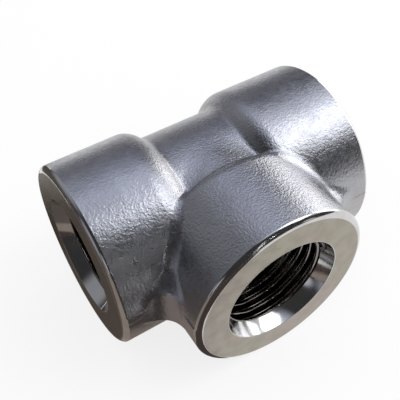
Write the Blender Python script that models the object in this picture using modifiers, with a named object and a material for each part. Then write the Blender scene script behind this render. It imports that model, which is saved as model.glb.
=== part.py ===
"""Forged pipe tee with three female taper-threaded ends, lying flat.

The run lies along X, the branch points to -Y and +Z is up. The origin is under
the middle of the tee, on the surface that it lies on. Sizes are in metres.
"""

import math

import bmesh
import bpy
from mathutils import Matrix, Vector

MM = 0.001

# Taper pipe thread of 1/2 inch, 14 turns to the inch, 55 degrees
THREAD_MAJOR_DIAMETER = 20.955 * MM
THREAD_PITCH = 1.814 * MM
THREAD_DEPTH = 0.6403 * THREAD_PITCH
THREAD_ANGLE = math.radians(55.0)
THREAD_TAPER = 1.0 / 16.0
THREADED_DEPTH = 15.0 * MM

# Forged body. The thread sets the collars, and the collars set how long the ports are.
# A shoulder runs down from each collar to the waist or the neck.
COLLAR_WALL = 6.0225 * MM
COLLAR_RADIUS = THREAD_MAJOR_DIAMETER / 2 + COLLAR_WALL
RUN_END_PAST_BRANCH = 8.5 * MM
RUN_CENTRE_TO_END = COLLAR_RADIUS + RUN_END_PAST_BRANCH
BRANCH_END_PAST_RUN = 8.0 * MM
BRANCH_CENTRE_TO_END = COLLAR_RADIUS + BRANCH_END_PAST_RUN
SHOULDER_DROP = 2.2 * MM
WAIST_RADIUS = COLLAR_RADIUS - SHOULDER_DROP
RUN_SHOULDER_FROM_CENTRE = 10.4 * MM
BRANCH_SHOULDER_FROM_CENTRE = 11.3 * MM
SHOULDER_ROUND = 3.5 * MM
SHOULDER_FILLET = 1.0 * MM

# Machined ends
END_CHAMFER_WIDTH = 1.05 * MM
END_CHAMFER_HEIGHT = 0.9 * MM
COUNTERBORE_CLEARANCE = 0.12 * MM
COUNTERBORE_RADIUS = THREAD_MAJOR_DIAMETER / 2 + COUNTERBORE_CLEARANCE
COUNTERBORE_DEPTH = 2.4 * MM
MOUTH_CHAMFER = 0.15 * MM
RUN_PASSAGE_STEP = 2.08 * MM
RUN_PASSAGE_RADIUS = THREAD_MAJOR_DIAMETER / 2 - RUN_PASSAGE_STEP
BRANCH_PASSAGE_STEP = 2.48 * MM
BRANCH_PASSAGE_RADIUS = THREAD_MAJOR_DIAMETER / 2 - BRANCH_PASSAGE_STEP

# Rounds in the two creases between the run's collars and the branch. They open out
# near the plane where the two forging dies met, which is just above the axes, and die
# out where the collars' sides lean in at 45 degrees.
PARTING_RISE = 1.0 * MM
CREASE_ROUND = 1.2 * MM
CREASE_LEAST_ROUND = 0.3 * MM
CREASE_FLARE = 4.2 * MM
CREASE_FLARE_FROM = 2.5 * MM
CREASE_FLARE_TO = 6.5 * MM
CREASE_OVERLAP = 0.05 * MM
CREASE_ROOT = 3.0 * MM
CREASE_END_ANGLE = math.radians(45.0)

# Rest of the trimmed flash between the dies. Its ends stop partway down the end
# chamfers and are trimmed just above them. The punch that trimmed it cut off the
# fronts of the flared creases with it.
LAND_TRIM_CLEARANCE = 0.02 * MM
LAND_PROUD = 0.12 * MM
LAND_TRIM_HEIGHT = 1.6 * MM
LAND_SLOPE_HEIGHT = 1.2 * MM
LAND_SLOPE_WIDTH = 1.0 * MM
LAND_END_GAP = END_CHAMFER_HEIGHT / 2
LAND_HALF_WIDTH = COLLAR_RADIUS + LAND_PROUD
WEB_RADIUS = 3.3 * MM
PUNCH_CORNER_CLEARANCE = 0.15 * MM

# Fineness of the round shapes
ROUND_STEPS = 64
BORE_STEPS = 48
THREAD_STEPS = 24
ARC_STEPS = 5
CREASE_STEPS = 16
SHARP_ANGLE = math.radians(30.0)

# How far a cutter runs past the face that it cuts
OVERSHOOT = 3.0 * MM

CROSSING = Vector((0.0, (BRANCH_CENTRE_TO_END - LAND_HALF_WIDTH) / 2, COLLAR_RADIUS))

LEFT, RIGHT, FORWARD = Vector((-1, 0, 0)), Vector((1, 0, 0)), Vector((0, -1, 0))

# Each port: the way it opens and how far its face is from the crossing
PORTS = {
    "run_left": (LEFT, RUN_CENTRE_TO_END),
    "run_right": (RIGHT, RUN_CENTRE_TO_END),
    "branch": (FORWARD, BRANCH_CENTRE_TO_END),
}


def clear_scene():
    for old in list(bpy.data.objects):
        bpy.data.objects.remove(old, do_unlink=True)


def new_collection(name):
    made = bpy.data.collections.new(name)
    bpy.context.scene.collection.children.link(made)
    return made


def new_object(name, mesh, collection):
    made = bpy.data.objects.new(name, mesh)
    collection.objects.link(made)
    return made


def steel_material():
    """Blasted and pickled stainless forging."""
    made = bpy.data.materials.new("forged_steel")
    made.use_nodes = True
    shader = made.node_tree.nodes["Principled BSDF"]
    shader.inputs["Base Color"].default_value = (0.42, 0.42, 0.45, 1.0)
    shader.inputs["Roughness"].default_value = 0.38
    shader.inputs["Metallic"].default_value = 1.0
    return made


def facing(direction):
    """Turns +Z to a direction and puts the origin at the crossing of the two axes."""
    turn = direction.to_track_quat("Z", "Y").to_matrix().to_4x4()
    return Matrix.Translation(CROSSING) @ turn


def turned(name, profile, steps, collection, direction):
    """A closed solid turned about an axis from (radius, height) points, top to bottom."""
    mesh = bpy.data.meshes.new(name)
    points = [(radius, 0.0, height) for radius, height in profile]
    edges = [(i, i + 1) for i in range(len(points) - 1)]
    if profile[0][0] > 0:
        edges.append((len(points) - 1, 0))
    mesh.from_pydata(points, edges, [])
    made = new_object(name, mesh, collection)
    screw = made.modifiers.new("turn", "SCREW")
    screw.steps = screw.render_steps = steps
    screw.use_merge_vertices = True
    screw.merge_threshold = 1e-6
    made.matrix_world = facing(direction)
    return made


def shoulder(start):
    """(radius, height) points from the collar's radius down to the waist's.

    A round that is tangent to the collar turns over into a fillet that is tangent to
    the waist. The shoulder starts at height start and runs towards the crossing.
    """
    both = SHOULDER_ROUND + SHOULDER_FILLET
    swing = math.acos(1 - SHOULDER_DROP / both)
    foot = start - both * math.sin(swing)
    points = []
    for step in range(ARC_STEPS + 1):
        angle = swing * step / ARC_STEPS
        points.append(
            (COLLAR_RADIUS - SHOULDER_ROUND * (1 - math.cos(angle)), start - SHOULDER_ROUND * math.sin(angle))
        )
    for step in range(1, ARC_STEPS + 1):
        angle = swing * (1 - step / ARC_STEPS)
        points.append(
            (WAIST_RADIUS + SHOULDER_FILLET * (1 - math.cos(angle)), foot + SHOULDER_FILLET * math.sin(angle))
        )
    return points


def collar_end(to_end):
    """(radius, height) points over a machined end, from its middle down its chamfer."""
    return [
        (0.0, to_end),
        (COLLAR_RADIUS - END_CHAMFER_WIDTH, to_end),
        (COLLAR_RADIUS, to_end - END_CHAMFER_HEIGHT),
    ]


def forged_run(collection):
    upper = collar_end(RUN_CENTRE_TO_END) + shoulder(RUN_SHOULDER_FROM_CENTRE)
    lower = [(radius, -height) for radius, height in reversed(upper)]
    return turned("tee_body", upper + lower, ROUND_STEPS, collection, RIGHT)


def forged_branch(collection):
    outer = collar_end(BRANCH_CENTRE_TO_END) + shoulder(BRANCH_SHOULDER_FROM_CENTRE)
    profile = outer + [(WAIST_RADIUS, 0.0), (0.0, 0.0)]
    return turned("branch_blank", profile, ROUND_STEPS, collection, FORWARD)


def land_outline(half_width, web_radius, web_steps):
    """The tee seen from above, wider by the land, with its two inner corners rounded."""
    run_end = RUN_CENTRE_TO_END - LAND_END_GAP
    branch_end = BRANCH_CENTRE_TO_END - LAND_END_GAP
    back = [(-height, radius + LAND_PROUD) for radius, height in shoulder(RUN_SHOULDER_FROM_CENTRE)]
    left = [(-run_end, half_width)] + back
    outline = left + [(-x, y) for x, y in reversed(left)]
    right_corner = [(run_end, -half_width)]
    middle = half_width + web_radius
    for step in range(web_steps + 1):
        angle = math.pi / 2 * (1 + step / web_steps)
        right_corner.append(
            (middle + web_radius * math.cos(angle), -middle + web_radius * math.sin(angle))
        )
    right_corner.append((half_width, -branch_end))
    return outline + right_corner + [(-x, y) for x, y in reversed(right_corner)]


def level_plate(outline, thickness):
    """A closed plate of an outline, half above and half below z = 0."""
    bm = bmesh.new()
    plate = bm.faces.new([bm.verts.new((x, y, -thickness / 2)) for x, y in outline])
    plate.normal_update()
    if plate.normal.z > 0:
        plate.normal_flip()
    lifted = bmesh.ops.extrude_face_region(bm, geom=[plate], use_keep_orig=True)["geom"]
    upper_verts = [item for item in lifted if isinstance(item, bmesh.types.BMVert)]
    bmesh.ops.translate(bm, vec=(0, 0, thickness), verts=upper_verts)
    bmesh.ops.recalc_face_normals(bm, faces=bm.faces)
    return bm


def placed(name, bm, collection, rise):
    mesh = bpy.data.meshes.new(name)
    bm.to_mesh(mesh)
    bm.free()
    made = new_object(name, mesh, collection)
    made.location = CROSSING + Vector((0, 0, rise))
    return made


def flash_land(collection):
    """A plate of the land's outline, whose two faces slope in until they end inside the body."""
    outline = land_outline(LAND_HALF_WIDTH, WEB_RADIUS, 2 * ARC_STEPS)
    bm = level_plate(outline, LAND_TRIM_HEIGHT)
    flat = [face for face in bm.faces if round(abs(face.normal.z)) == 1]
    bmesh.ops.inset_region(
        bm, faces=flat, thickness=LAND_SLOPE_WIDTH, depth=LAND_SLOPE_HEIGHT, use_even_offset=True
    )
    return placed("flash_land", bm, collection, PARTING_RISE)


def trimming_punch(collection):
    """Everything inside the line that the fronts of the creases are trimmed to."""
    half_width = LAND_HALF_WIDTH - LAND_TRIM_CLEARANCE
    outline = land_outline(half_width, WEB_RADIUS - PUNCH_CORNER_CLEARANCE, 2 * ARC_STEPS - 1)
    bm = level_plate(outline, 2 * (COLLAR_RADIUS + OVERSHOOT))
    return placed("trimming_punch", bm, collection, 0)


def crease_radius(share, height):
    """Radius of a crease's round at a height, this share of the way up or down to its end."""
    away = (abs(height - PARTING_RISE) - CREASE_FLARE_FROM) / (CREASE_FLARE_TO - CREASE_FLARE_FROM)
    away = min(max(away, 0.0), 1.0)
    flare = CREASE_FLARE * (1 - away * away * (3 - 2 * away))
    return CREASE_LEAST_ROUND + CREASE_ROUND * (1 - share**4) + flare


def crease(name, side, collection):
    """Fills the crease at one side of the branch, from level sections with a round each."""
    bm = bmesh.new()
    rows = []
    web_steps = 2 * ARC_STEPS
    for step in range(-CREASE_STEPS, CREASE_STEPS + 1):
        lean = CREASE_END_ANGLE * step / CREASE_STEPS
        height = COLLAR_RADIUS * math.sin(lean)
        half_width = COLLAR_RADIUS * math.cos(lean)
        radius = crease_radius(step / CREASE_STEPS, height)
        middle = half_width - CREASE_OVERLAP + radius
        root = half_width - CREASE_ROOT
        row = [bm.verts.new((side * root, -root, height))]
        for i in range(web_steps + 1):
            turn = math.pi / 2 * i / web_steps
            across = middle - radius * math.cos(turn)
            along = middle - radius * math.sin(turn)
            row.append(bm.verts.new((side * across, -along, height)))
        rows.append(row)
    for lower, upper in zip(rows, rows[1:]):
        for i in range(len(lower)):
            bm.faces.new((lower[i - 1], lower[i], upper[i], upper[i - 1]))
    bmesh.ops.triangulate(bm, faces=[bm.faces.new(rows[0]), bm.faces.new(rows[-1])])
    bmesh.ops.recalc_face_normals(bm, faces=bm.faces)
    return placed(name, bm, collection, 0)


def land_trimmer(name, port, collection):
    """A ring with a sloped inner side, which carries an end chamfer on over the land."""
    direction, to_end = port
    rim = COLLAR_RADIUS - END_CHAMFER_WIDTH + LAND_TRIM_CLEARANCE
    slope = END_CHAMFER_HEIGHT / END_CHAMFER_WIDTH
    inside = rim - OVERSHOOT
    outside = LAND_HALF_WIDTH + OVERSHOOT
    past_end = to_end + slope * OVERSHOOT
    low_end = to_end - slope * (outside - rim)
    profile = [(inside, past_end), (outside, past_end), (outside, low_end)]
    return turned(name, profile, ROUND_STEPS, collection, direction)


def mouth(to_end):
    """The upper part of a bore: its chamfered mouth and counterbore, down to the thread."""
    return [
        (0.0, to_end + OVERSHOOT),
        (COUNTERBORE_RADIUS + MOUTH_CHAMFER + OVERSHOOT, to_end + OVERSHOOT),
        (COUNTERBORE_RADIUS, to_end - MOUTH_CHAMFER),
        (COUNTERBORE_RADIUS, to_end - COUNTERBORE_DEPTH),
    ]


def run_bore(collection):
    counterbore_end = RUN_CENTRE_TO_END - COUNTERBORE_DEPTH
    upper = mouth(RUN_CENTRE_TO_END) + [(RUN_PASSAGE_RADIUS, counterbore_end)]
    lower = [(radius, -height) for radius, height in reversed(upper)]
    return turned("run_bore", upper + lower, BORE_STEPS, collection, RIGHT)


def branch_bore(collection):
    counterbore_end = BRANCH_CENTRE_TO_END - COUNTERBORE_DEPTH
    passage = [(BRANCH_PASSAGE_RADIUS, counterbore_end), (BRANCH_PASSAGE_RADIUS, 0.0), (0.0, 0.0)]
    profile = mouth(BRANCH_CENTRE_TO_END) + passage
    return turned("branch_bore", profile, BORE_STEPS, collection, FORWARD)


def thread_turns():
    """An open screw surface about Z, one profile of a thread carried round and up."""
    major = THREAD_MAJOR_DIAMETER / 2
    minor = major - THREAD_DEPTH
    flank = THREAD_DEPTH * math.tan(THREAD_ANGLE / 2)
    flat = (THREAD_PITCH - 2 * flank) / 2
    heights = (0.0, flat, flat + flank, 2 * flat + flank, THREAD_PITCH)
    radii = (minor, minor, major, major, minor)
    mesh = bpy.data.meshes.new("thread_turns")
    points = [(radius, 0.0, height) for radius, height in zip(radii, heights)]
    mesh.from_pydata(points, [(i, i + 1) for i in range(len(points) - 1)], [])
    guide = new_object("thread_guide", mesh, bpy.context.scene.collection)
    screw = guide.modifiers.new("turn", "SCREW")
    screw.steps = screw.render_steps = THREAD_STEPS
    screw.screw_offset = THREAD_PITCH
    screw.iterations = math.ceil(THREADED_DEPTH / THREAD_PITCH) + 2
    screw.use_merge_vertices = False
    shape = guide.evaluated_get(bpy.context.evaluated_depsgraph_get())
    made = bpy.data.meshes.new_from_object(shape)
    bpy.data.objects.remove(guide)
    bpy.data.meshes.remove(mesh)
    return made


def tap_mesh():
    """The threaded plug of a tap: tapered, cut off square, z = 0 at the end face."""
    bm = bmesh.new()
    turns = thread_turns()
    bm.from_mesh(turns)
    bpy.data.meshes.remove(turns)
    bmesh.ops.remove_doubles(bm, verts=bm.verts, dist=1e-6)
    top = max(vert.co.z for vert in bm.verts)
    for vert in bm.verts:
        vert.co.z -= top - THREAD_PITCH
        radius = math.hypot(vert.co.x, vert.co.y)
        vert.co.xy *= (radius + vert.co.z * THREAD_TAPER / 2) / radius
    for height, side in ((-COUNTERBORE_DEPTH / 2, 1), (-THREADED_DEPTH, -1)):
        bmesh.ops.bisect_plane(
            bm, geom=bm.verts[:] + bm.edges[:] + bm.faces[:], dist=1e-7,
            plane_co=(0, 0, height), plane_no=(0, 0, side), clear_outer=True,
        )
        rim = [edge for edge in bm.edges if edge.is_boundary]
        rim = [edge for edge in rim if all(abs(v.co.z - height) < 1e-6 for v in edge.verts)]
        bmesh.ops.contextual_create(bm, geom=rim)
    bmesh.ops.recalc_face_normals(bm, faces=bm.faces)
    mesh = bpy.data.meshes.new("tap")
    bm.to_mesh(mesh)
    bm.free()
    return mesh


def tap(name, port, mesh, collection):
    """The plug that cuts the thread of one port."""
    made = new_object(name, mesh, collection)
    direction, to_end = port
    made.matrix_world = facing(direction) @ Matrix.Translation((0, 0, to_end))
    return made


def boolean(body, operation, other):
    step = body.modifiers.new(f"{operation.lower()}_{other.name}", "BOOLEAN")
    step.operation = operation
    step.solver = "EXACT"
    step.object = other
    other.hide_render = True
    other.display_type = "WIRE"


def build():
    clear_scene()
    parts = new_collection("pipe_tee")
    cutters = new_collection("cutters")
    body = forged_run(parts)
    land = flash_land(cutters)
    for name, port in PORTS.items():
        boolean(land, "DIFFERENCE", land_trimmer(f"{name}_land_trimmer", port, cutters))
    boolean(body, "UNION", forged_branch(cutters))
    boolean(body, "UNION", land)
    punch = trimming_punch(cutters)
    for name, side in (("left_crease", -1), ("right_crease", 1)):
        web = crease(name, side, cutters)
        boolean(web, "INTERSECT", punch)
        boolean(body, "UNION", web)
    boolean(body, "DIFFERENCE", run_bore(cutters))
    boolean(body, "DIFFERENCE", branch_bore(cutters))
    plug = tap_mesh()
    for name, port in PORTS.items():
        boolean(body, "DIFFERENCE", tap(f"{name}_tap", port, plug, cutters))
    body.data.materials.append(steel_material())
    body.data.shade_smooth()
    body.data.set_sharp_from_angle(angle=SHARP_ANGLE)


build()
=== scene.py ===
"""Looks of a forged threaded pipe tee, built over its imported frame.

The forging's skin is one surface, worked out from its two arms, its trimmed flash land
and the rounds between them. The machined ends, taper threads and passages fill it.
"""
import math

import bmesh
import bpy
import numpy as np
from mathutils import Matrix, Vector

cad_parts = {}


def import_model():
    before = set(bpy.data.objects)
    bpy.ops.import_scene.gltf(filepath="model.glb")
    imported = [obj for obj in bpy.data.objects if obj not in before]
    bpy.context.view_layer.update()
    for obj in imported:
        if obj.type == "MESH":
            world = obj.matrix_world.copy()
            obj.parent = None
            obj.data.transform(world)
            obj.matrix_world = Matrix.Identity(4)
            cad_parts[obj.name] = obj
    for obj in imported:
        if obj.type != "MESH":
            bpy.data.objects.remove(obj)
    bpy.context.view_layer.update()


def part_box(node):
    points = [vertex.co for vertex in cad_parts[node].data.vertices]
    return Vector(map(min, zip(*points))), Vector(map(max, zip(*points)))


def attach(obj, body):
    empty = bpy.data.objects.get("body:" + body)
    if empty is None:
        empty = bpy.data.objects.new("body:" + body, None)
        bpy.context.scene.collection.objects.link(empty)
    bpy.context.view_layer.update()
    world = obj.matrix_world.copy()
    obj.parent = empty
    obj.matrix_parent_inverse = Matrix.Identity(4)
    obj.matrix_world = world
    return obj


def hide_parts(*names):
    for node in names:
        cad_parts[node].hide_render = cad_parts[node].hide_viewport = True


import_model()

MM = 0.001
LOW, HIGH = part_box("tee_body")

# Forged body, with its main sizes taken from the frame
COLLAR_RADIUS = (HIGH.z - LOW.z) / 2
RUN_TO_END = (HIGH.x - LOW.x) / 2
BRANCH_TO_END = 24.5 * MM
CROSSING = Vector((0.0, LOW.y + BRANCH_TO_END, COLLAR_RADIUS))
SHOULDER_DROP = 2.2 * MM
WAIST_RADIUS = COLLAR_RADIUS - SHOULDER_DROP
# Each shoulder: where it starts from the crossing, its round and its fillet
LEFT_SHOULDER = (12.6 * MM, 7.2 * MM, 1.2 * MM)
RIGHT_SHOULDER = (10.3 * MM, 4.4 * MM, 0.9 * MM)
BACK_SHOULDER = (10.6 * MM, 3.6 * MM, 1.0 * MM)
BRANCH_SHOULDER = (10.1 * MM, 2.4 * MM, 0.4 * MM)
# How far forwards the run looks, from -1 at its back to 1 at its front, where its front
# shoulders begin to take over, and how much further it takes until they have
FRONT_SHOULDERS_FROM = -0.75
FRONT_SHOULDERS_SPAN = 0.8

# Rounds in the creases between the arms, which open out near the parting plane
PARTING_RISE = 1.0 * MM
CREASE_ROUND = 2.0 * MM
CREASE_FLARE = 3.8 * MM
CREASE_FLARE_FROM = 2.5 * MM
CREASE_FLARE_TO = 6.5 * MM

# Flash that flared out where the forging dies met, and the line that it is trimmed to
FLASH_HALF_THICKNESS = 0.6 * MM
FLASH_FLARE = 0.6 * MM
LAND_PROUD = 0.06 * MM
TRIM_EDGE_ROUND = 0.12 * MM
WEB_RADIUS = 3.3 * MM

# Machined ends: a flat face, a rounded chamfer that a greater fullness brings nearer to its
# corner, a counterbore that is a cone, and a taper thread with softened flanks
FACE_SAMPLE_RADIUS = 13 * MM
CHAMFER_WIDTH = 1.05 * MM
CHAMFER_HEIGHT = 0.9 * MM
CHAMFER_FULLNESS = 0.4
FACE_RADIUS = COLLAR_RADIUS - CHAMFER_WIDTH
THREAD_MAJOR_RADIUS = 20.955 / 2 * MM
THREAD_PITCH = 1.814 * MM
THREAD_DEPTH = 0.6403 * THREAD_PITCH
THREAD_ANGLE = math.radians(55)
THREAD_TAPER = 1 / 16
THREADED_DEPTH = 15.0 * MM
FLANK_SOFTENING = 0.35
COUNTERBORE_RADIUS = THREAD_MAJOR_RADIUS + 0.12 * MM
COUNTERBORE_DEPTH = 2.4 * MM
COUNTERBORE_TAPER = 1.15 * MM
COUNTERBORE_END_RADIUS = COUNTERBORE_RADIUS - COUNTERBORE_TAPER
MOUTH_ROUND = 0.1 * MM
RUN_PASSAGE_RADIUS = THREAD_MAJOR_RADIUS - 2.08 * MM
BRANCH_PASSAGE_RADIUS = THREAD_MAJOR_RADIUS - 2.48 * MM

# Fineness of the surfaces
SKIN_TURN_STEPS = 360
SKIN_TURN_CROWDING = 0.35
SKIN_LENGTH_STEPS = 64
BORE_TURN_STEPS = 192
THREAD_STEPS_PER_PITCH = 18
PASSAGE_STEPS = 24
CHAMFER_STEPS = 16
MOUTH_STEPS = 6
WELD_DISTANCE = 1e-7
THREAD_WELD_DISTANCE = 1e-6

# Radii between which the skin is looked for, and how often that range is halved
SKIN_SEARCH_FROM = 0.5 * WAIST_RADIUS
SKIN_SEARCH_TO = 1.8 * COLLAR_RADIUS
CHAMFER_SEARCH_REACH = 6 * CHAMFER_WIDTH
HALVINGS = 40

# Each port: the way it opens, how far its face is, and two directions square to it,
# chosen so that all three make a right-handed set
PORTS = {
    "run_left": ((-1, 0, 0), RUN_TO_END, (0, 0, 1), (0, -1, 0)),
    "run_right": ((1, 0, 0), RUN_TO_END, (0, 0, 1), (0, 1, 0)),
    "branch": ((0, -1, 0), BRANCH_TO_END, (0, 0, 1), (1, 0, 0)),
}

# Camera, fitted to the rims of the collars: its turn in degrees, and its place from the
# crossing in millimetres
LENS_LENGTH = 59.532
SENSOR_WIDTH = 36
CAMERA_TURN = (41.5789, 1.0296, -32.1867)
CAMERA_PLACE = (-42.127, -69.047, 90.329)
CAMERA_CLIP = (0.01, 20)

# Studio round the tee, in which azimuth 0 is the front and azimuths grow to the right.
# Patches of light: name, azimuth and elevation of the middle, the angles from there at
# which it starts to fade and has faded, and colour
SURROUNDINGS = [
    ("ceiling", 100, 76, 8, 34, (0.62, 0.66, 0.78)),
    ("rear_ceiling", 158, 58, 10, 28, (0.34, 0.37, 0.47)),
    ("rear_right_wall", 160, 14, 10, 30, (0.16, 0.16, 0.18)),
    ("left_window", -92, 6, 8, 22, (0.30, 0.32, 0.38)),
    ("front_left_card", -60, 12, 6, 13, (0.50, 0.52, 0.57)),
    ("rear_wall", -150, 34, 16, 42, (0.28, 0.29, 0.32)),
    ("right_wall", 92, 38, 12, 34, (0.75, 0.77, 0.82)),
    ("front_right_card", 40, 8, 5, 7, (0.6, 0.6, 0.62)),
    ("low_front_card", -1, 10, 3, 4, (3.0, 3.0, 3.1)),
    ("front_card", -1, 21, 3.5, 4.5, (4.0, 4.0, 4.1)),
    ("high_front_card", -1, 32, 3, 4, (3.0, 3.0, 3.1)),
]
ROOM_COLOUR = (0.045, 0.044, 0.046)

# Mats on the floor: name, inner and outer radius, first and last azimuth, and colour
MATS = [
    ("left_mat", 0.0, 0.9, -125, -76, (0.13, 0.11, 0.10)),
    ("web_mat", 0.0, 0.9, -76, -50, (0.32, 0.27, 0.24)),
    ("front_left_mat", 0.0, 0.9, -50, -26, (0.07, 0.055, 0.05)),
    ("front_mat", 0.044, 0.9, -26, 6, (0.07, 0.055, 0.05)),
    # A painted shadow: the tee's dark contact shadow on the floor at its rear left, as reflections
    # see it
    ("rear_left_painted_shadow", 0.0, 0.054, -172, -125, (0.06, 0.05, 0.04)),
    ("far_rear_left_mat", 0.066, 0.9, -172, -125, (0.10, 0.09, 0.08)),
]
MAT_HEIGHT = 0.4 * MM
MAT_STEPS = 48

# Lamps: name, azimuth, elevation, width, height, radiance and colour
LAMPS = [
    ("key_softbox", 61, 52, 0.31, 0.39, 2.6, (0.94, 0.965, 1.0)),
    ("side_window", 100, 12, 0.52, 0.38, 2.7, (1, 1, 1)),
    ("crest_lamp", 10, 27, 0.014, 0.018, 20.0, (1, 1, 1)),
]
LAMP_DISTANCE = 0.6

# Floor, the share of glow in it as it is seen, and the world's strength on matt surfaces
# and as it is seen
FLOOR_REACH = 3.0
FLOOR_COLOUR = (0.92, 0.92, 0.92)
FLOOR_GLOW_SHARE = 0.8
WORLD_STRENGTH = 0.8
WORLD_STRENGTH_SEEN = 1.0


# Shape of the forging, relative to the crossing of its axes


def eased(share):
    """A share from 0 to 1 with a gentle start and end."""
    return share * share * (3 - 2 * share)


def outline_radius(along, shoulder):
    """Radius of an arm at a distance along it: waist, shoulder of two arcs, collar."""
    start, rounding, fillet = shoulder
    swing = math.acos(1 - SHOULDER_DROP / (rounding + fillet))
    reach = (rounding + fillet) * math.sin(swing)
    down = np.clip(start - along, 0, reach)
    on_round = np.minimum(down, rounding * math.sin(swing))
    on_fillet = np.minimum(reach - down, fillet * math.sin(swing))
    upper = COLLAR_RADIUS - rounding + np.sqrt(rounding**2 - on_round**2)
    lower = WAIST_RADIUS + fillet - np.sqrt(fillet**2 - on_fillet**2)
    return np.where(down < rounding * math.sin(swing), upper, lower)


def run_outline(x, forwards):
    """Radius of the run at x, where its surface looks forwards by 1 (front) to -1 (back).

    Its shoulders are rounder over the front than at the back, and the left one the most.
    """
    left, right = outline_radius(-x, LEFT_SHOULDER), outline_radius(x, RIGHT_SHOULDER)
    front = np.where(x < 0, left, right)
    back = outline_radius(np.abs(x), BACK_SHOULDER)
    share = eased(np.clip((forwards - FRONT_SHOULDERS_FROM) / FRONT_SHOULDERS_SPAN, 0, 1))
    return share * front + (1 - share) * back


def rounded_union(first, second, radius):
    """Distance to two joined shapes, with a round of this radius along their crease."""
    inner = np.hypot(np.maximum(radius - first, 0), np.maximum(radius - second, 0))
    return np.maximum(radius, np.minimum(first, second)) - inner


def forging(x, y, z):
    """Below zero inside the forging, above zero outside it."""
    run_reach, branch_reach = np.hypot(y, z), np.hypot(x, z)
    run = run_reach - run_outline(x, -y / np.maximum(run_reach, MM))
    branch = np.maximum(branch_reach - outline_radius(-y, BRANCH_SHOULDER), y)
    squareness = np.clip(1 - z * z / np.maximum(run_reach * branch_reach, MM * MM), 0, 1)
    level = np.abs(z - PARTING_RISE)
    away = np.clip((level - CREASE_FLARE_FROM) / (CREASE_FLARE_TO - CREASE_FLARE_FROM), 0, 1)
    flare = CREASE_FLARE * (1 - eased(away))
    body = rounded_union(run, branch, CREASE_ROUND * np.sqrt(squareness) + flare)
    flared = rounded_union(body, level - FLASH_HALF_THICKNESS, FLASH_FLARE)
    run_side = np.abs(y) - run_outline(x, -np.sign(y))
    branch_side = np.maximum(np.abs(x) - outline_radius(-y, BRANCH_SHOULDER), y)
    trim = rounded_union(run_side, branch_side, WEB_RADIUS + LAND_PROUD) - LAND_PROUD
    return -rounded_union(-flared, -trim, TRIM_EDGE_ROUND)


def solve(inner, outer, point_at):
    """The number between inner and outer at which point_at leaves the forging."""
    low, high = np.array(inner, float), np.array(outer, float)
    for _ in range(HALVINGS):
        middle = (low + high) / 2
        inside = forging(*point_at(middle)) < 0
        low, high = np.where(inside, middle, low), np.where(inside, high, middle)
    return (low + high) / 2


def chamfer_depth(radius):
    """How far below its end face the cone of a chamfer is at a radius."""
    return (radius - FACE_RADIUS) * CHAMFER_HEIGHT / CHAMFER_WIDTH


# Skin of the forging: a net for each arm, and the nets meet in the creases


def skin_turns():
    """Angles round an arm from its top, closest together at the parting plane."""
    even = np.linspace(0, 2 * math.pi, SKIN_TURN_STEPS, endpoint=False)
    return even + SKIN_TURN_CROWDING * np.sin(2 * even)


def arm_net(to_end, place, crease_share):
    """Points of one arm's skin, as rows round the arm from its chamfer to its crease.

    place turns (distance along the arm, distance to one side, height) into x, y, z.
    crease_share says how far along the arm the crease is, as a share of the radius that it
    has there, for each distance to that side, itself a share of the radius.
    """
    turn = skin_turns()
    side, up = np.sin(turn), np.cos(turn)
    share = crease_share(side)
    least, most = np.full_like(turn, SKIN_SEARCH_FROM), np.full_like(turn, SKIN_SEARCH_TO)

    def on_crease(radius):
        return place(radius * share, radius * side, radius * up)

    def on_chamfer(radius):
        return place(to_end - chamfer_depth(radius), radius * side, radius * up)

    crease_radius = solve(least, most, on_crease)
    end_radius = solve(np.full_like(turn, FACE_RADIUS), most, on_chamfer)
    start = to_end - chamfer_depth(end_radius)
    stop = crease_radius * share
    rows = []
    for row in range(SKIN_LENGTH_STEPS + 1):
        along = start + (stop - start) * row / SKIN_LENGTH_STEPS
        if row == 0:
            radius = end_radius
        elif row == SKIN_LENGTH_STEPS:
            radius = crease_radius
        else:
            radius = solve(least, most, lambda r: place(along, r * side, r * up))
        rows.append(np.stack(place(along, radius * side, radius * up), axis=1))
    return np.array(rows)


def mesh_from_nets(name, nets, turning=None):
    """One mesh from nets of points, each closed round its columns and open at its rows.

    turning gives each row of a net its place across the lathe tool's marks.
    """
    bm = bmesh.new()
    mark = bm.verts.layers.float.new("turning") if turning else None
    for net in nets:
        verts = [[bm.verts.new(point) for point in row] for row in net]
        columns = len(verts[0])
        for upper, lower in zip(verts, verts[1:]):
            for i in range(columns):
                after = (i + 1) % columns
                bm.faces.new((upper[i], upper[after], lower[after], lower[i]))
        if turning:
            for row, place in zip(verts, turning):
                for vert in row:
                    vert[mark] = place
    bmesh.ops.remove_doubles(bm, verts=bm.verts, dist=WELD_DISTANCE)
    mesh = bpy.data.meshes.new(name)
    bm.to_mesh(mesh)
    bm.free()
    mesh.transform(Matrix.Translation(CROSSING))
    mesh.shade_smooth()
    piece = bpy.data.objects.new(name, mesh)
    bpy.context.scene.collection.objects.link(piece)
    return piece


def face_outwards(piece, point, outward):
    """Turns the whole mesh over if the face nearest to a point looks away from outward."""
    nearest = min(piece.data.polygons, key=lambda face: (face.center - point).length)
    if nearest.normal.dot(outward) < 0:
        piece.data.flip_normals()


def forged_skin():
    """The outside of the forging: both halves of the run, and the branch."""
    # On the front half of the run the crease is in the plane at 45 degrees, and at its
    # back both halves of the run meet in the plane through the branch's axis
    def run_crease(side):
        return np.maximum(side, 0)

    nets = [
        arm_net(RUN_TO_END, lambda a, s, u: (-a, -s, u), run_crease),
        arm_net(RUN_TO_END, lambda a, s, u: (a, -s, u), run_crease)[:, ::-1],
        arm_net(BRANCH_TO_END, lambda a, s, u: (s, -a, u), np.abs),
    ]
    return mesh_from_nets("forged_skin", nets)


# Machined surfaces: nets turned about a port's axis, as (depth below the face, radius)


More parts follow.
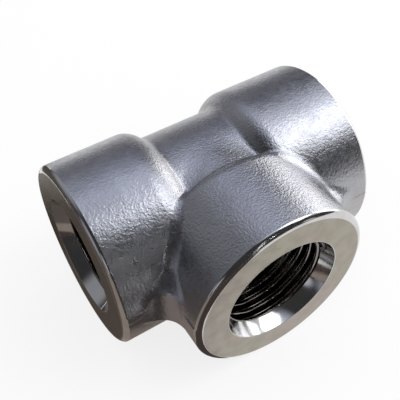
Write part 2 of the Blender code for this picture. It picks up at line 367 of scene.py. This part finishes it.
def port_points(port, depth, radius, turn):
    """Points at a depth below a port's face, at a radius and an angle about its axis."""
    opens, to_end, up, side = (np.array(v, float) for v in port)
    across = np.cos(turn)[:, None] * up + np.sin(turn)[:, None] * side
    return opens * (to_end - depth)[:, None] + across * radius[:, None]


def turned_piece(name, port, profile, turn):
    """A surface through (depth, radius) points, each a number or one for every angle."""
    whole = np.ones_like(turn)
    rows = [port_points(port, depth * whole, radius * whole, turn) for depth, radius in profile]
    marks = [float(np.mean(radius) - np.mean(depth)) for depth, radius in profile]
    return mesh_from_nets(name, [np.array(rows)], marks)


def chamfer_edge(port, turn):
    """Depth and radius at which the end chamfer runs out on the skin."""
    def on_chamfer(radius):
        return port_points(port, chamfer_depth(radius), radius, turn).T

    inner = np.full_like(turn, FACE_RADIUS)
    radius = solve(inner, inner + CHAMFER_SEARCH_REACH, on_chamfer)
    return chamfer_depth(radius), radius


def end_face(name, port):
    """The flat ring of a port, out to its chamfer and in to its mouth."""
    mouth_radius = COUNTERBORE_RADIUS + MOUTH_ROUND
    profile = [(0, FACE_RADIUS), (0, (FACE_RADIUS + mouth_radius) / 2), (0, mouth_radius)]
    return turned_piece(name, port, profile, skin_turns())


def end_chamfer(name, port):
    """A chamfer with broken edges: it leaves the skin and meets the face smoothly."""
    turn = skin_turns()
    depth, radius = chamfer_edge(port, turn)
    profile = []
    for step in range(CHAMFER_STEPS + 1):
        share = (1 - math.cos(math.pi * step / CHAMFER_STEPS)) / 2
        on_skin, on_face = (1 - share) ** 2, share**2
        at_corner = 2 * CHAMFER_FULLNESS * share * (1 - share)
        whole = on_skin + at_corner + on_face
        profile.append((
            depth * on_skin / whole,
            (radius * (on_skin + at_corner) + FACE_RADIUS * on_face) / whole,
        ))
    return turned_piece(name, port, profile, turn)


def counterbore(name, port):
    """The rounded mouth, and the smooth cone that narrows from there to the thread."""
    profile = []
    for step in range(MOUTH_STEPS + 1):
        angle = math.pi / 2 * step / MOUTH_STEPS
        profile.append((
            MOUTH_ROUND * (1 - math.cos(angle)),
            COUNTERBORE_RADIUS + MOUTH_ROUND * (1 - math.sin(angle)),
        ))
    profile.append((COUNTERBORE_DEPTH, COUNTERBORE_END_RADIUS))
    return turned_piece(name, port, profile, skin_turns())


def passages():
    """The smooth bores behind the threads, which meet in a T inside the forging."""
    branch_turn = np.linspace(0, 2 * math.pi, BORE_TURN_STEPS, endpoint=False)
    side = BRANCH_PASSAGE_RADIUS * np.sin(branch_turn)
    height = BRANCH_PASSAGE_RADIUS * np.cos(branch_turn)
    meets = np.sqrt(RUN_PASSAGE_RADIUS**2 - height**2)
    start = BRANCH_TO_END - THREADED_DEPTH
    rows = [
        np.stack([side, -(start + (meets - start) * k / PASSAGE_STEPS), height], axis=1)
        for k in range(PASSAGE_STEPS + 1)
    ]
    nets = [np.array(rows)]

    # Round the run, the angles of the front part are those at which the branch meets it
    half = BORE_TURN_STEPS // 2
    front = np.arccos(height[: half + 1] / RUN_PASSAGE_RADIUS)
    gap = np.abs(side[: half + 1])
    rest = np.linspace(front[-1], front[0] + 2 * math.pi, half, endpoint=True)[1:-1]
    turn = np.concatenate([front, rest])
    gap = np.concatenate([gap, 0 * rest])
    start = RUN_TO_END - THREADED_DEPTH
    y, z = -RUN_PASSAGE_RADIUS * np.sin(turn), RUN_PASSAGE_RADIUS * np.cos(turn)
    for way in (-1, 1):
        rows = [
            np.stack([way * (start + (gap - start) * k / PASSAGE_STEPS), y, z], axis=1)
            for k in range(PASSAGE_STEPS + 1)
        ]
        net = np.array(rows)
        nets.append(net if way < 0 else net[:, ::-1])
    return mesh_from_nets("smooth_passages", nets)


# Taper thread: a Geometry Nodes tree that winds a helical ridge into a tapering bore


class NodeMath:
    """Writes sums as nodes of a tree: numbers and sockets go in, a socket comes out."""

    def __init__(self, tree):
        self.tree = tree

    def do(self, operation, first, second=0.0):
        node = self.tree.nodes.new("ShaderNodeMath")
        node.operation = operation
        for socket, value in zip(node.inputs, (first, second)):
            if isinstance(value, (int, float)):
                socket.default_value = value
            else:
                self.tree.links.new(value, socket)
        return node.outputs[0]

    def clamp(self, value):
        return self.do("MINIMUM", self.do("MAXIMUM", value, 0.0), 1.0)

    def between(self, share, start, end):
        """The number that is this share of the way from start to end."""
        return self.do("ADD", self.do("MULTIPLY", share, end - start), start)


THREAD_INPUTS = [
    ("Major Radius", "NodeSocketFloat", THREAD_MAJOR_RADIUS),
    ("Pitch", "NodeSocketFloat", THREAD_PITCH),
    ("Thread Depth", "NodeSocketFloat", THREAD_DEPTH),
    ("Flank Width", "NodeSocketFloat", THREAD_DEPTH * math.tan(THREAD_ANGLE / 2)),
    ("Radius Lost Per Depth", "NodeSocketFloat", THREAD_TAPER / 2),
    ("Start Depth", "NodeSocketFloat", COUNTERBORE_DEPTH),
    ("End Depth", "NodeSocketFloat", THREADED_DEPTH),
    ("Mouth Radius", "NodeSocketFloat", COUNTERBORE_END_RADIUS),
    ("Passage Radius", "NodeSocketFloat", RUN_PASSAGE_RADIUS),
    ("Length Steps", "NodeSocketInt", 0),
    ("Turn Steps", "NodeSocketInt", BORE_TURN_STEPS),
    ("Metal", "NodeSocketMaterial", None),
]


def thread_radius(sums, given, turn, depth):
    """Radius of the threaded wall, at an angle about the axis and a depth below the face."""
    # How far up the flank a point is, from 0 in the groove to 1 on the crest
    lead = sums.do("MULTIPLY", given["Pitch"], sums.do("DIVIDE", turn, 2 * math.pi))
    phase = sums.do("FLOORED_MODULO", sums.do("ADD", depth, lead), given["Pitch"])
    half_pitch = sums.do("DIVIDE", given["Pitch"], 2)
    half_flat = sums.do("DIVIDE", sums.do("SUBTRACT", half_pitch, given["Flank Width"]), 2)
    from_groove = sums.do("ABSOLUTE", sums.do("SUBTRACT", phase, half_pitch))
    past_flat = sums.do("SUBTRACT", from_groove, half_flat)
    up_flank = sums.clamp(sums.do("DIVIDE", past_flat, given["Flank Width"]))

    # The flank is partly straight, and partly eased at the root and the crest
    squared = sums.do("MULTIPLY", up_flank, up_flank)
    smooth = sums.do("MULTIPLY", squared, sums.do("SUBTRACT", 3, sums.do("MULTIPLY", up_flank, 2)))
    soft_part = sums.do("MULTIPLY", smooth, FLANK_SOFTENING)
    straight_part = sums.do("MULTIPLY", up_flank, 1 - FLANK_SOFTENING)
    ridge = sums.do("ADD", soft_part, straight_part)
    lost = sums.do("MULTIPLY", depth, given["Radius Lost Per Depth"])
    tapered = sums.do("SUBTRACT", given["Major Radius"], lost)
    return sums.do("SUBTRACT", tapered, sums.do("MULTIPLY", ridge, given["Thread Depth"]))


def thread_tree():
    """A grid rolled up into a bore that opens towards +Z, with its mouth at depth 0."""
    tree = bpy.data.node_groups.new("taper_thread", "GeometryNodeTree")
    face = tree.interface
    for name, kind, value in THREAD_INPUTS:
        socket = face.new_socket(name, in_out="INPUT", socket_type=kind)
        if value is not None:
            socket.default_value = value
    face.new_socket("Geometry", in_out="OUTPUT", socket_type="NodeSocketGeometry")
    nodes, links, sums = tree.nodes, tree.links, NodeMath(tree)
    given = nodes.new("NodeGroupInput").outputs
    rows = sums.do("ADD", given["Length Steps"], 3)
    grid = nodes.new("GeometryNodeMeshGrid")
    links.new(sums.do("ADD", given["Turn Steps"], 1), grid.inputs["Vertices X"])
    links.new(rows, grid.inputs["Vertices Y"])
    spot = nodes.new("ShaderNodeSeparateXYZ")
    links.new(nodes.new("GeometryNodeInputPosition").outputs[0], spot.inputs[0])
    turn = sums.do("MULTIPLY", sums.do("ADD", spot.outputs["X"], 0.5), 2 * math.pi)

    # The first and last rows close the steps to the counterbore and to the passage
    row = sums.do("MULTIPLY", sums.do("ADD", spot.outputs["Y"], 0.5), sums.do("SUBTRACT", rows, 1))
    share = sums.clamp(sums.do("DIVIDE", sums.do("SUBTRACT", row, 1), given["Length Steps"]))
    length = sums.do("SUBTRACT", given["End Depth"], given["Start Depth"])
    depth = sums.do("ADD", given["Start Depth"], sums.do("MULTIPLY", share, length))
    last_row = sums.do("SUBTRACT", rows, 1.5)
    radius = thread_radius(sums, given, turn, depth)
    for test, edge, edge_radius in (
        ("LESS_THAN", 0.5, given["Mouth Radius"]),
        ("GREATER_THAN", last_row, given["Passage Radius"]),
    ):
        here = sums.do(test, row, edge)
        off = sums.do("MULTIPLY", here, sums.do("SUBTRACT", edge_radius, radius))
        radius = sums.do("ADD", radius, off)

    place = nodes.new("ShaderNodeCombineXYZ")
    sideways = sums.do("MULTIPLY", sums.do("SINE", turn), -1)
    links.new(sums.do("MULTIPLY", radius, sideways), place.inputs["X"])
    links.new(sums.do("MULTIPLY", radius, sums.do("COSINE", turn)), place.inputs["Y"])
    links.new(sums.do("MULTIPLY", depth, -1), place.inputs["Z"])
    move = nodes.new("GeometryNodeSetPosition")
    links.new(grid.outputs["Mesh"], move.inputs["Geometry"])
    links.new(place.outputs[0], move.inputs["Position"])
    keep = nodes.new("GeometryNodeStoreNamedAttribute")
    keep.data_type, keep.domain = "FLOAT", "POINT"
    keep.inputs["Name"].default_value = "turning"
    links.new(move.outputs[0], keep.inputs["Geometry"])
    links.new(sums.do("SUBTRACT", radius, depth), keep.inputs["Value"])
    close = nodes.new("GeometryNodeMergeByDistance")
    close.inputs["Distance"].default_value = THREAD_WELD_DISTANCE
    links.new(keep.outputs[0], close.inputs["Geometry"])
    smooth_shade = nodes.new("GeometryNodeSetShadeSmooth")
    links.new(close.outputs[0], smooth_shade.inputs["Geometry"])
    real = nodes.new("GeometryNodeRealizeInstances")
    links.new(smooth_shade.outputs[0], real.inputs["Geometry"])
    coat = nodes.new("GeometryNodeSetMaterial")
    links.new(real.outputs[0], coat.inputs["Geometry"])
    links.new(given["Metal"], coat.inputs["Material"])
    out = nodes.new("NodeGroupOutput")
    links.new(coat.outputs[0], out.inputs[0])
    return tree


def thread(name, tree, port, passage_radius, metal):
    """Taper thread from the end of the counterbore down to the smooth passage."""
    carrier = bpy.data.objects.new(f"{name}_carrier", bpy.data.meshes.new(f"{name}_carrier"))
    bpy.context.scene.collection.objects.link(carrier)
    winding = carrier.modifiers.new("taper thread", "NODES")
    winding.node_group = tree
    inputs = [item for item in tree.interface.items_tree if item.in_out == "INPUT"]
    ids = {item.name: item.identifier for item in inputs}
    steps = round((THREADED_DEPTH - COUNTERBORE_DEPTH) / THREAD_PITCH * THREAD_STEPS_PER_PITCH)
    for item_name, _, value in THREAD_INPUTS:
        if value is not None:
            winding[ids[item_name]] = value
    winding[ids["Passage Radius"]] = passage_radius
    winding[ids["Length Steps"]] = steps
    winding[ids["Metal"]] = metal
    graph = bpy.context.evaluated_depsgraph_get()
    mesh = bpy.data.meshes.new_from_object(carrier.evaluated_get(graph))
    mesh.name = name
    carrier.modifiers.remove(winding)
    bpy.data.objects.remove(carrier)
    opens, to_end, up, side = port
    opens, up, side = Vector(opens), Vector(up), Vector(side)
    turn = Matrix((-side, up, opens)).transposed().to_4x4()
    mesh.transform(Matrix.Translation(CROSSING + opens * to_end) @ turn)
    piece = bpy.data.objects.new(name, mesh)
    bpy.context.scene.collection.objects.link(piece)
    return piece


# Materials, with the scales of their noise in features per metre

USUAL_NOISE = (0.3, 0.7)

# Forged skin. Each pair of shares is for near the middle of the tee, and for far out to its
# left and right. One gives way to the other between the two distances of the change.
FORGED_TONES = ((0.40, 0.403, 0.432), (0.46, 0.463, 0.495))
FORGED_TONE_SCALE = 260
FORGED_ROUGHNESS = (0.27, 0.35)
FORGED_ROUGHNESS_SCALE = 900
FINISH_CHANGE = (9.5 * MM, 13 * MM)
PEEL_SCALE = 1800
PEEL_SHARES = (0.18, 0.38)
GRAIN_SCALE = 3000
GRAIN_SHARES = (2.1, 0.8)
RELIEF_HEIGHT = 0.042 * MM

# Stains with painted shade, which come up from one height down to the other and are faint above: the
# faint stain is all over, and the darkening that grows towards the bottom is painted shade
STAIN_COLOUR = (0.38, 0.355, 0.33)
STAIN_SCALE = 70
STAIN_NOISE = (0.35, 0.7)
STAIN_HEIGHTS = (26 * MM, 6 * MM)
FAINT_STAIN = 0.25

# Lathe-faced rings
FACED_TINTS = ((0.385, 0.355, 0.29), (0.395, 0.345, 0.305))
FACED_TINT_SCALE = 90
FACED_TINT_NOISE = (0.35, 0.65)
FACED_MARK_COLOUR = (0.36, 0.33, 0.28)
FACED_MARK_SHARE = 0.35
FACED_MARK_SCALE = 9000
FACED_MARK_HEIGHT = 0.006 * MM
FACED_ROUGHNESS = (0.38, 0.48)
FACED_ROUGHNESS_SCALE = 500

# Sharply cut surfaces, bright, and dark with painted shade deep in the bores: dark and light tint,
# least and most roughness
BRIGHT_CUT = ((0.56, 0.55, 0.545), (0.63, 0.62, 0.615), 0.09, 0.17)
# Threads and passages: their dark tints are painted shade, the shade deep inside the bores
OILY_CUT = ((0.22, 0.20, 0.185), (0.29, 0.27, 0.25), 0.05, 0.08)
CUT_TINT_SCALE = 300
CUT_MARK_SCALE = 7000
CUT_MARK_HEIGHT = 0.003 * MM
CUT_ROUGHNESS_SCALE = 700


class Metal:
    """A metal under a Principled shader, with short ways to add the nodes that vary it."""

    def __init__(self, name, colour, roughness):
        self.made = bpy.data.materials.new(name)
        self.made.use_nodes = True
        self.nodes, self.links = self.made.node_tree.nodes, self.made.node_tree.links
        self.shader = self.nodes["Principled BSDF"]
        self.shader.inputs["Base Color"].default_value = (*colour, 1)
        self.shader.inputs["Roughness"].default_value = roughness
        self.shader.inputs["Metallic"].default_value = 1.0
        self.sums = NodeMath(self.made.node_tree)
        self.place = self.nodes.new("ShaderNodeTexCoord").outputs["Object"]

    def noise(self, scale, detail=2.0, distortion=0.0, where=None):
        node = self.nodes.new("ShaderNodeTexNoise")
        node.inputs["Scale"].default_value = scale
        node.inputs["Detail"].default_value = detail
        node.inputs["Distortion"].default_value = distortion
        self.links.new(where or self.place, node.inputs["Vector"])
        return node.outputs["Fac"]

    def tool_marks(self, scale, detail):
        """Noise in rings, because it changes only across the path of the lathe tool."""
        marks = self.nodes.new("ShaderNodeAttribute")
        marks.attribute_name = "turning"
        across = self.nodes.new("ShaderNodeCombineXYZ")
        self.links.new(marks.outputs["Fac"], across.inputs["X"])
        return self.noise(scale, detail, where=across.outputs[0])

    def ramp(self, value, low, high, to_low=0.0, to_high=1.0):
        node = self.nodes.new("ShaderNodeMapRange")
        node.interpolation_type = "SMOOTHSTEP"
        names = ("From Min", "From Max", "To Min", "To Max")
        for name, number in zip(names, (low, high, to_low, to_high)):
            node.inputs[name].default_value = number
        self.links.new(value, node.inputs["Value"])
        return node.outputs["Result"]

    def spread(self, noise, to_low=0.0, to_high=1.0):
        """Noise stretched from the values that it usually has to a range."""
        return self.ramp(noise, *USUAL_NOISE, to_low, to_high)

    def blend(self, share, first, second):
        node = self.nodes.new("ShaderNodeMix")
        node.data_type = "RGBA"
        self.links.new(share, node.inputs["Factor"])
        for socket, value in ((node.inputs[6], first), (node.inputs[7], second)):
            if isinstance(value, tuple):
                socket.default_value = (*value, 1)
            else:
                self.links.new(value, socket)
        return node.outputs[2]

    def bump(self, height, distance):
        node = self.nodes.new("ShaderNodeBump")
        node.inputs["Strength"].default_value = 1.0
        node.inputs["Distance"].default_value = distance
        self.links.new(height, node.inputs["Height"])
        self.links.new(node.outputs["Normal"], self.shader.inputs["Normal"])

    def colour(self, socket):
        self.links.new(socket, self.shader.inputs["Base Color"])

    def roughness(self, socket):
        self.links.new(socket, self.shader.inputs["Roughness"])


def forged_material():
    """Blasted and pickled skin: bluish grey, orange peel, faintly stained, and browner where it is
    low, which is painted shade.
    """
    metal = Metal("forged_steel", (0.43, 0.43, 0.455), 0.34)
    sums = metal.sums
    split = metal.nodes.new("ShaderNodeSeparateXYZ")
    metal.links.new(metal.place, split.inputs[0])
    along_run = sums.do("ABSOLUTE", split.outputs["X"])
    far_out = metal.ramp(along_run, *FINISH_CHANGE)

    # More of the coarse peel on the run's collars, more of the fine grain on the waist
    peel = metal.spread(metal.noise(PEEL_SCALE, 1.5, 0.5))
    grain = metal.noise(GRAIN_SCALE, 2.5)
    peel_height = sums.do("MULTIPLY", peel, sums.between(far_out, *PEEL_SHARES))
    grain_height = sums.do("MULTIPLY", grain, sums.between(far_out, *GRAIN_SHARES))
    metal.bump(sums.do("ADD", peel_height, grain_height), RELIEF_HEIGHT)

    # Brown patches: faint stain all over, and painted shade that grows towards the bottom
    stain = metal.ramp(metal.noise(STAIN_SCALE, 3.0), *STAIN_NOISE)
    low_down = metal.ramp(split.outputs["Z"], *STAIN_HEIGHTS)
    stained = sums.clamp(sums.do("MULTIPLY", stain, sums.do("ADD", low_down, FAINT_STAIN)))
    tone = metal.spread(metal.noise(FORGED_TONE_SCALE, 3.0))
    metal.colour(metal.blend(stained, metal.blend(tone, *FORGED_TONES), STAIN_COLOUR))
    metal.roughness(metal.spread(metal.noise(FORGED_ROUGHNESS_SCALE), *FORGED_ROUGHNESS))
    return metal.made


def machined_material():
    """Faced on a lathe: matt, slightly straw-coloured, with fine concentric marks."""
    metal = Metal("machined_face", (0.43, 0.39, 0.33), 0.42)
    rings = metal.tool_marks(FACED_MARK_SCALE, 2.0)
    metal.bump(rings, FACED_MARK_HEIGHT)
    patches = metal.ramp(metal.noise(FACED_TINT_SCALE), *FACED_TINT_NOISE)
    tint = metal.blend(patches, *FACED_TINTS)
    metal.colour(metal.blend(metal.spread(rings, 0.0, FACED_MARK_SHARE), tint, FACED_MARK_COLOUR))
    metal.roughness(metal.spread(metal.noise(FACED_ROUGHNESS_SCALE), *FACED_ROUGHNESS))
    return metal.made


def turned_material(name, dark, light, smoothest, roughest):
    """Cut by a sharp tool: nearly a mirror, with faint tool marks, from dark to light."""
    metal = Metal(name, light, roughest)
    metal.bump(metal.tool_marks(CUT_MARK_SCALE, 1.0), CUT_MARK_HEIGHT)
    tint = metal.spread(metal.noise(CUT_TINT_SCALE))
    metal.colour(metal.blend(tint, dark, light))
    metal.roughness(metal.spread(metal.noise(CUT_ROUGHNESS_SCALE), smoothest, roughest))
    return metal.made


# Studio


def direction(azimuth, elevation):
    """Unit vector towards an azimuth and elevation in degrees. Azimuth 0 is the front."""
    a, e = math.radians(azimuth), math.radians(elevation)
    return Vector((math.sin(a) * math.cos(e), -math.cos(a) * math.cos(e), math.sin(e)))


def studio_piece(name, mesh, material):
    piece = bpy.data.objects.new(name, mesh)
    bpy.context.scene.collection.objects.link(piece)
    mesh.materials.append(material)
    return piece


def seen_in_reflections_only(piece):
    piece.visible_camera = False
    piece.visible_diffuse = False
    piece.visible_shadow = False
    piece.visible_transmission = False


def emission_material(name):
    made = bpy.data.materials.new(name)
    made.use_nodes = True
    nodes = made.node_tree.nodes
    nodes.clear()
    glow = nodes.new("ShaderNodeEmission")
    out = nodes.new("ShaderNodeOutputMaterial")
    made.node_tree.links.new(glow.outputs["Emission"], out.inputs["Surface"])
    return made, glow


def surroundings_material():
    """Dark room with soft patches of light, each round its own direction."""
    made, glow = emission_material("studio_surroundings")
    nodes, links = made.node_tree.nodes, made.node_tree.links
    place = nodes.new("ShaderNodeTexCoord").outputs["Object"]
    total = nodes.new("ShaderNodeRGB")
    total.outputs[0].default_value = (*ROOM_COLOUR, 1)
    total = total.outputs[0]
    for name, azimuth, elevation, starts, ends, colour in SURROUNDINGS:
        facing = nodes.new("ShaderNodeVectorMath")
        facing.operation = "DOT_PRODUCT"
        facing.inputs[1].default_value = direction(azimuth, elevation)
        links.new(place, facing.inputs[0])
        fade = nodes.new("ShaderNodeMapRange")
        fade.interpolation_type = "SMOOTHSTEP"
        fade.inputs["From Min"].default_value = math.cos(math.radians(ends))
        fade.inputs["From Max"].default_value = math.cos(math.radians(starts))
        links.new(facing.outputs["Value"], fade.inputs["Value"])
        patch = nodes.new("ShaderNodeMix")
        patch.data_type = "RGBA"
        patch.blend_type = "ADD"
        patch.label = name
        patch.inputs[7].default_value = (*colour, 1)
        links.new(fade.outputs["Result"], patch.inputs["Factor"])
        links.new(total, patch.inputs[6])
        total = patch.outputs[2]
    links.new(total, glow.inputs["Color"])
    return made


def stage_dome():
    """A sphere round the studio that shows the surroundings to reflections."""
    bm = bmesh.new()
    bmesh.ops.create_uvsphere(bm, u_segments=64, v_segments=32, radius=1.0)
    mesh = bpy.data.meshes.new("studio_dome")
    bm.to_mesh(mesh)
    bm.free()
    mesh.shade_smooth()
    seen_in_reflections_only(studio_piece("studio_dome", mesh, surroundings_material()))


def flat_sector(name, inner, outer, start, stop, height, material):
    """A flat ring sector over the floor round the tee, between two azimuths."""
    points, faces = [], []
    for step in range(MAT_STEPS + 1):
        towards = direction(start + (stop - start) * step / MAT_STEPS, 0)
        for reach in (inner, outer):
            points.append((towards.x * reach, towards.y * reach, height))
    for step in range(MAT_STEPS):
        faces.append((2 * step, 2 * step + 1, 2 * step + 3, 2 * step + 2))
    mesh = bpy.data.meshes.new(name)
    mesh.from_pydata(points, [], faces)
    return studio_piece(name, mesh, material)


def stage_mats():
    """Dark mats that only reflections see, as a photographer shades bright metal. The one at the rear
    left, nearest the tee, is a painted shadow.
    """
    for name, inner, outer, start, stop, colour in MATS:
        material, glow = emission_material(name)
        glow.inputs["Color"].default_value = (*colour, 1)
        mat = flat_sector(name, inner, outer, start, stop, MAT_HEIGHT, material)
        seen_in_reflections_only(mat)


def seen_or_mirrored(sums):
    """1 where the camera, a mirror or glass looks, and 0 for the light on matt surfaces."""
    ray = sums.tree.nodes.new("ShaderNodeLightPath").outputs
    seen = sums.do("MAXIMUM", ray["Is Camera Ray"], ray["Is Glossy Ray"])
    return sums.do("MAXIMUM", seen, ray["Is Transmission Ray"])


def stage_floor():
    """White floor: it glows as far as the eye and metal see it, and keeps the shadow."""
    made = bpy.data.materials.new("white_floor")
    made.use_nodes = True
    nodes, links = made.node_tree.nodes, made.node_tree.links
    nodes.clear()
    sums = NodeMath(made.node_tree)
    matt = nodes.new("ShaderNodeBsdfDiffuse")
    matt.inputs["Color"].default_value = (*FLOOR_COLOUR, 1)
    glow = nodes.new("ShaderNodeEmission")
    glow.inputs["Strength"].default_value = 1.0
    both = nodes.new("ShaderNodeMixShader")
    links.new(sums.do("MULTIPLY", seen_or_mirrored(sums), FLOOR_GLOW_SHARE), both.inputs[0])
    links.new(matt.outputs[0], both.inputs[1])
    links.new(glow.outputs[0], both.inputs[2])
    out = nodes.new("ShaderNodeOutputMaterial")
    links.new(both.outputs[0], out.inputs["Surface"])
    mesh = bpy.data.meshes.new("floor")
    corners = [(x * FLOOR_REACH, y * FLOOR_REACH, 0) for x, y in ((-1, -1), (1, -1), (1, 1), (-1, 1))]
    mesh.from_pydata(corners, [], [(0, 1, 2, 3)])
    studio_piece("floor", mesh, made)


def softbox(name, azimuth, elevation, width, height, radiance, colour):
    """A soft lamp aimed at the tee. Its radiance is about what a mirror would show."""
    lamp = bpy.data.lights.new(name, "AREA")
    lamp.shape = "RECTANGLE"
    lamp.size, lamp.size_y = width, height
    lamp.energy = radiance * width * height * math.pi
    lamp.color = colour
    holder = bpy.data.objects.new(name, lamp)
    bpy.context.scene.collection.objects.link(holder)
    towards = direction(azimuth, elevation)
    holder.location = CROSSING + towards * LAMP_DISTANCE
    holder.rotation_mode = "QUATERNION"
    holder.rotation_quaternion = towards.to_track_quat("Z", "Y")
    holder.visible_camera = False


def lights():
    for lamp in LAMPS:
        softbox(*lamp)


def world():
    """Plain pale light for what is matt, and white behind the floor's far edge."""
    made = bpy.data.worlds.new("studio")
    bpy.context.scene.world = made
    made.use_nodes = True
    nodes, links = made.node_tree.nodes, made.node_tree.links
    background = nodes["Background"]
    sums = NodeMath(made.node_tree)
    strength = sums.between(seen_or_mirrored(sums), WORLD_STRENGTH, WORLD_STRENGTH_SEEN)
    background.inputs["Color"].default_value = (1, 1, 1, 1)
    links.new(strength, background.inputs["Strength"])


def camera():
    """Looks down at the tee from its front left, at the photograph's angle."""
    lens = bpy.data.cameras.new("camera")
    lens.sensor_width = SENSOR_WIDTH
    lens.lens = LENS_LENGTH
    lens.clip_start, lens.clip_end = CAMERA_CLIP
    holder = bpy.data.objects.new("camera", lens)
    bpy.context.scene.collection.objects.link(holder)
    holder.rotation_euler = [math.radians(angle) for angle in CAMERA_TURN]
    holder.location = CROSSING + Vector(CAMERA_PLACE) * MM
    bpy.context.scene.camera = holder


def finish_piece(piece, metal, point, outward):
    """Turns a piece's faces out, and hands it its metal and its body."""
    face_outwards(piece, point, outward)
    if not piece.data.materials:
        piece.data.materials.append(metal)
    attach(piece, "root")


def machine_port(name, port, tree, matt, bright, oily):
    """One port's face, chamfer, counterbore and thread, each with a point near its surface."""
    opens, to_end, up = Vector(port[0]), port[1], Vector(port[2])
    passage_radius = BRANCH_PASSAGE_RADIUS if name == "branch" else RUN_PASSAGE_RADIUS
    for piece, metal, radius, depth, outward in (
        (end_face(f"{name}_face", port), matt, FACE_SAMPLE_RADIUS, 0, opens),
        (end_chamfer(f"{name}_chamfer", port), bright, COLLAR_RADIUS, 0, opens),
        (
            counterbore(f"{name}_counterbore", port), bright,
            COUNTERBORE_RADIUS, COUNTERBORE_DEPTH / 2, -up,
        ),
        (
            thread(f"{name}_thread", tree, port, passage_radius, oily), oily,
            THREAD_MAJOR_RADIUS, THREADED_DEPTH / 2, -up,
        ),
    ):
        point = CROSSING + opens * (to_end - depth) + up * radius
        finish_piece(piece, metal, point, outward)


def build():
    camera()
    forged = forged_material()
    matt = machined_material()
    bright = turned_material("turned_steel", *BRIGHT_CUT)
    oily = turned_material("thread_steel_painted_shade", *OILY_CUT)
    skin = forged_skin()
    top_of_collar = CROSSING + Vector((-RUN_TO_END * 0.8, 0, COLLAR_RADIUS))
    finish_piece(skin, forged, top_of_collar, Vector((0, 0, 1)))
    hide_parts("tee_body")
    tree = thread_tree()
    for name, port in PORTS.items():
        machine_port(name, port, tree, matt, bright, oily)
    top_of_passage = CROSSING + Vector((0, 0, RUN_PASSAGE_RADIUS))
    finish_piece(passages(), oily, top_of_passage, Vector((0, 0, -1)))
    stage_floor()
    stage_mats()
    stage_dome()
    lights()
    world()
    bpy.context.scene.view_settings.view_transform = "Standard"


build()
